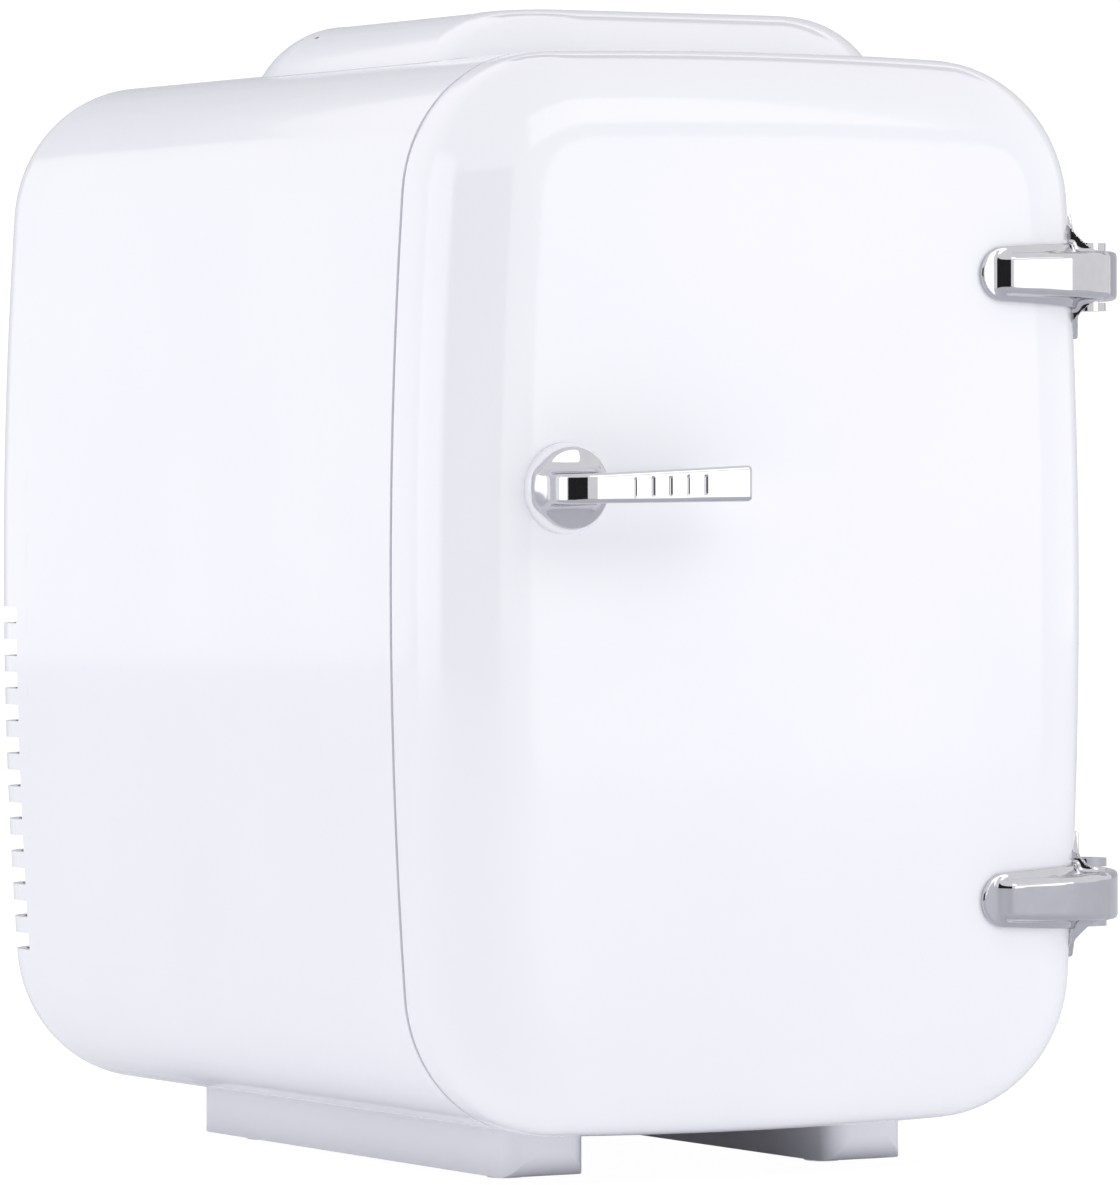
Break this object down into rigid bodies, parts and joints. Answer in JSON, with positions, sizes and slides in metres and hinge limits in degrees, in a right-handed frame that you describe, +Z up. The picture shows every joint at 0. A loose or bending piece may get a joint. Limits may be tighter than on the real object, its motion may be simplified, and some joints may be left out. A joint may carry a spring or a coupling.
{
  "type": "mini fridge",
  "caption": "Small free-standing counter-top fridge with a hinged door, lever handle, rear vents, folding carry handle, shelf and thermoelectric cooling unit.",
  "frame": {"origin": "centre of the bottom of the bounding box, on the surface that the foot pads rest on", "axes": "+X to the right seen from the front (hinge side), -Y out of the door, +Z up"},
  "size_m": [0.2006, 0.2819, 0.2913],
  "materials": {
    "white_shell": "gloss",
    "white_lining": "satin",
    "foam": "matte",
    "chrome_trim": "polished",
    "steel": "satin",
    "contact_metal": "satin",
    "magnet": "satin",
    "foot_rubber": "matte",
    "seal_rubber": "matte",
    "sink_aluminium": "satin",
    "module_ceramic": "matte",
    "black_plastic": "satin",
    "board_laminate": "satin",
    "standoff_nylon": "satin",
    "wire_sleeve": "satin",
    "indicator": "gloss"
  },
  "bodies": {
    "cabinet": {"front_frame": "white_shell", "main_shell": "white_shell", "rear_cover": "white_shell", "rear_cover_screws": "steel", "foot_pads": "foot_rubber", "top_housing": "white_shell", "carry_handle_pins": "steel", "inner_liner": "white_lining", "cabinet_foam": "foam", "strike_plates": "steel", "shelf": "white_lining", "fan_guard": "white_lining", "inner_fan_frame": "black_plastic", "cold_sink": "sink_aluminium", "spacer_block": "sink_aluminium", "thermoelectric_module": "module_ceramic", "hot_sink": "sink_aluminium", "heat_sink_screws": "steel", "rear_fan_frame": "black_plastic", "circuit_board": "board_laminate", "board_standoffs": "standoff_nylon", "board_components": "black_plastic", "module_wires": "wire_sleeve", "mode_switch_bezel": "black_plastic", "rocker_pin": "steel", "ac_inlet": "black_plastic", "ac_inlet_pins": "contact_metal", "dc_socket": "black_plastic", "dc_socket_pin": "contact_metal", "indicator_lens": "indicator", "upper_hinge_leaf": "chrome_trim", "lower_hinge_leaf": "chrome_trim", "hinge_pins": "steel", "leaf_screws": "steel"},
    "door": {"door_shell": "white_shell", "door_panel": "white_lining", "door_gasket": "seal_rubber", "door_foam": "foam", "door_rack": "white_lining", "door_magnets": "magnet", "handle_collar": "white_shell", "door_handle": "chrome_trim", "handle_screws": "steel", "upper_hinge_strap": "chrome_trim", "lower_hinge_strap": "chrome_trim", "strap_screws": "steel"},
    "carry_handle": {"carry_handle": "white_shell"},
    "inner_fan": {"inner_fan_rotor": "black_plastic"},
    "rear_fan": {"rear_fan_rotor": "black_plastic"},
    "mode_rocker": {"mode_switch_rocker": "black_plastic"}
  },
  "joints": [
    {"name": "door_swing", "type": "hinge", "parent": "cabinet", "child": "door", "pos_m": [0.09515, -0.0994, 0.146], "axis": [0, 0, 1], "range_deg": [0, 110]},
    {"name": "carry_handle_fold", "type": "hinge", "parent": "cabinet", "child": "carry_handle", "pos_m": [-0.00535, 0.0266, 0.2865], "axis": [-1, 0, 0], "range_deg": [0, 90]},
    {"name": "inner_fan_spin", "type": "hinge", "parent": "cabinet", "child": "inner_fan", "pos_m": [-0.00535, 0.0556, 0.096], "axis": [0, 1, 0], "continuous": true},
    {"name": "rear_fan_spin", "type": "hinge", "parent": "cabinet", "child": "rear_fan", "pos_m": [-0.00535, 0.1246, 0.096], "axis": [0, 1, 0], "continuous": true},
    {"name": "mode_rocker_tilt", "type": "hinge", "parent": "cabinet", "child": "mode_rocker", "pos_m": [0.02665, 0.1386, 0.176], "axis": [0, 0, 1], "range_deg": [-12, 12]}
  ]
}
